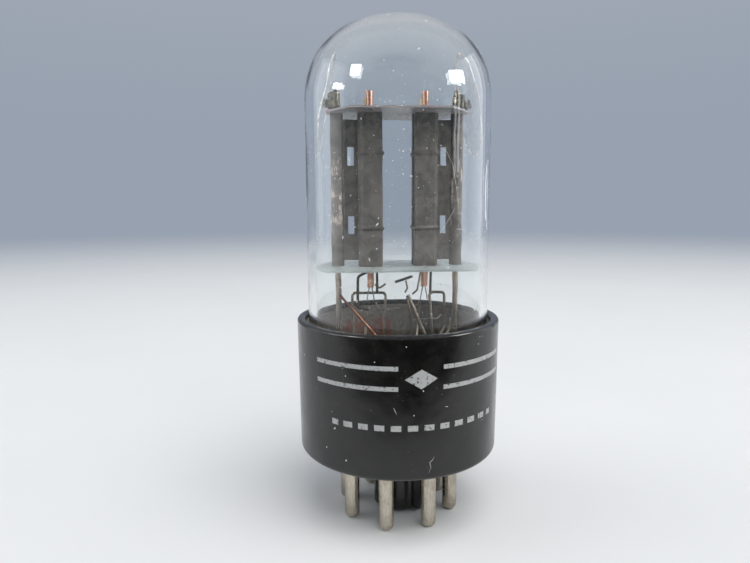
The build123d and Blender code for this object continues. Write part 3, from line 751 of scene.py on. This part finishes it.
def flag_material():
    """Black cloth that fades out on its side towards the tube."""
    n = Nodes("front_flag")
    fade = n.ramp(n.axis("Y"), -80, -38, 1, 0)
    return n.surface(
        Base_Color=(0.01, 0.01, 0.011), Roughness=0.9, Specular_IOR_Level=0.0, Alpha=fade,
    )


floor = add_sheet("studio_floor", FLOOR_HALF, -FLOOR_HALF, FLOOR_HALF, 0, floor_material())

# Dark front of the room: only reflections see it, so the glossy base is dark in the middle
flag = add_sheet("front_flag", FLAG_HALF_WIDTH, FLAG_FRONT, FLAG_BACK, MM, flag_material())
flag.visible_camera = False
flag.visible_diffuse = False
flag.visible_transmission = False
flag.visible_shadow = False

# ---------------------------------------------------------------- sky
world = bpy.data.worlds.new("studio")
bpy.context.scene.world = world
bpy.context.scene.view_settings.view_transform = "Standard"
world.use_nodes = True
sky = world.node_tree
way = sky.nodes.new("ShaderNodeSeparateXYZ")
sky.links.new(sky.nodes.new("ShaderNodeTexCoord").outputs["Generated"], way.inputs[0])


def sky_blend(source, low, high, a, b):
    """Blends two sky colours as one coordinate of the direction goes from low to high."""
    climb = sky.nodes.new("ShaderNodeMapRange")
    climb.interpolation_type = "SMOOTHSTEP"
    climb.inputs["From Min"].default_value = low
    climb.inputs["From Max"].default_value = high
    sky.links.new(source, climb.inputs["Value"])
    blend = sky.nodes.new("ShaderNodeMix")
    blend.data_type = "RGBA"
    for socket, value in ((blend.inputs[6], a), (blend.inputs[7], b)):
        if isinstance(value, tuple):
            socket.default_value = (*value, 1)
        else:
            sky.links.new(value, socket)
    sky.links.new(climb.outputs["Result"], blend.inputs[0])
    return blend.outputs[2]


level_sky = sky_blend(way.outputs["Y"], -0.6, 0.5, (0.18, 0.2, 0.23), (0.31, 0.355, 0.43))
whole_sky = sky_blend(way.outputs["Z"], 0.05, 0.9, level_sky, (0.5, 0.52, 0.55))
sky.links.new(whole_sky, sky.nodes["Background"].inputs[0])

# ---------------------------------------------------------------- lights
LIGHT_TARGET = Vector((0, 0, 0.055))
WARM = (1.0, 0.985, 0.955)
WHITE = (1, 1, 1)


def soft_light(name, azimuth, height, size, watts, distance=0.7, colour=WHITE):
    """A rectangular soft light, aimed at the bulb from a direction given in degrees."""
    a, e = math.radians(azimuth), math.radians(height)
    toward = Vector((math.cos(e) * math.cos(a), math.cos(e) * math.sin(a), math.sin(e)))
    data = bpy.data.lights.new(name, "AREA")
    data.shape = "RECTANGLE"
    data.size, data.size_y = size
    data.energy = watts
    data.color = colour
    light = bpy.data.objects.new(name, data)
    light.location = LIGHT_TARGET + toward * distance
    light.rotation_euler = toward.to_track_quat("Z", "Y").to_euler()
    light.visible_camera = False
    bpy.context.scene.collection.objects.link(light)
    return light


# Windows, strips and side panels: they show in gloss and do not light matt surfaces
for glint in (
    soft_light("window_left", -149, 28, (0.15, 0.14), 1.6),
    soft_light("window_right", -20, 21, (0.27, 0.13), 2.2),
    soft_light("window_small", -171, 15, (0.17, 0.045), 0.5),
    soft_light("strip_right", -20, 6.5, (0.04, 0.1), 0.05),
    soft_light("strip_back", 49, 0, (0.035, 0.09), 0.012),
    soft_light("panel_left", 170, 8, (0.65, 0.7), 1.1),
    soft_light("panel_right", 10, 8, (0.65, 0.7), 1.0),
):
    glint.visible_diffuse = False

# Broad lights that light the tube and leave no image in it
for fill in (
    soft_light("overhead", -60, 60, (0.9, 0.9), 9.8, 1.0, WARM),
    soft_light("fill_left", 175, 35, (0.7, 0.7), 2.5, 1.0),
    soft_light("fill_right", -10, 25, (0.5, 0.5), 1.5, 1.0),
):
    fill.visible_glossy = False
    fill.visible_transmission = False

# ---------------------------------------------------------------- camera
CAMERA_PLACE = Vector((-0.00999, -0.09508, 0.05098))
CAMERA_PAN = math.radians(-3.835)
CAMERA_TILT = math.radians(90 - 7.915)
CAMERA_ROLL = math.radians(-0.304)

camera_data = bpy.data.cameras.new("camera")
camera_data.sensor_width = 36
camera_data.lens = 28.755
camera_data.clip_start = 0.005
camera = bpy.data.objects.new("camera", camera_data)
pan = Matrix.Rotation(CAMERA_PAN, 4, "Z")
tilt = Matrix.Rotation(CAMERA_TILT, 4, "X")
roll = Matrix.Rotation(CAMERA_ROLL, 4, "Z")
camera.matrix_world = Matrix.Translation(CAMERA_PLACE) @ pan @ tilt @ roll
bpy.context.scene.collection.objects.link(camera)
bpy.context.scene.camera = camera
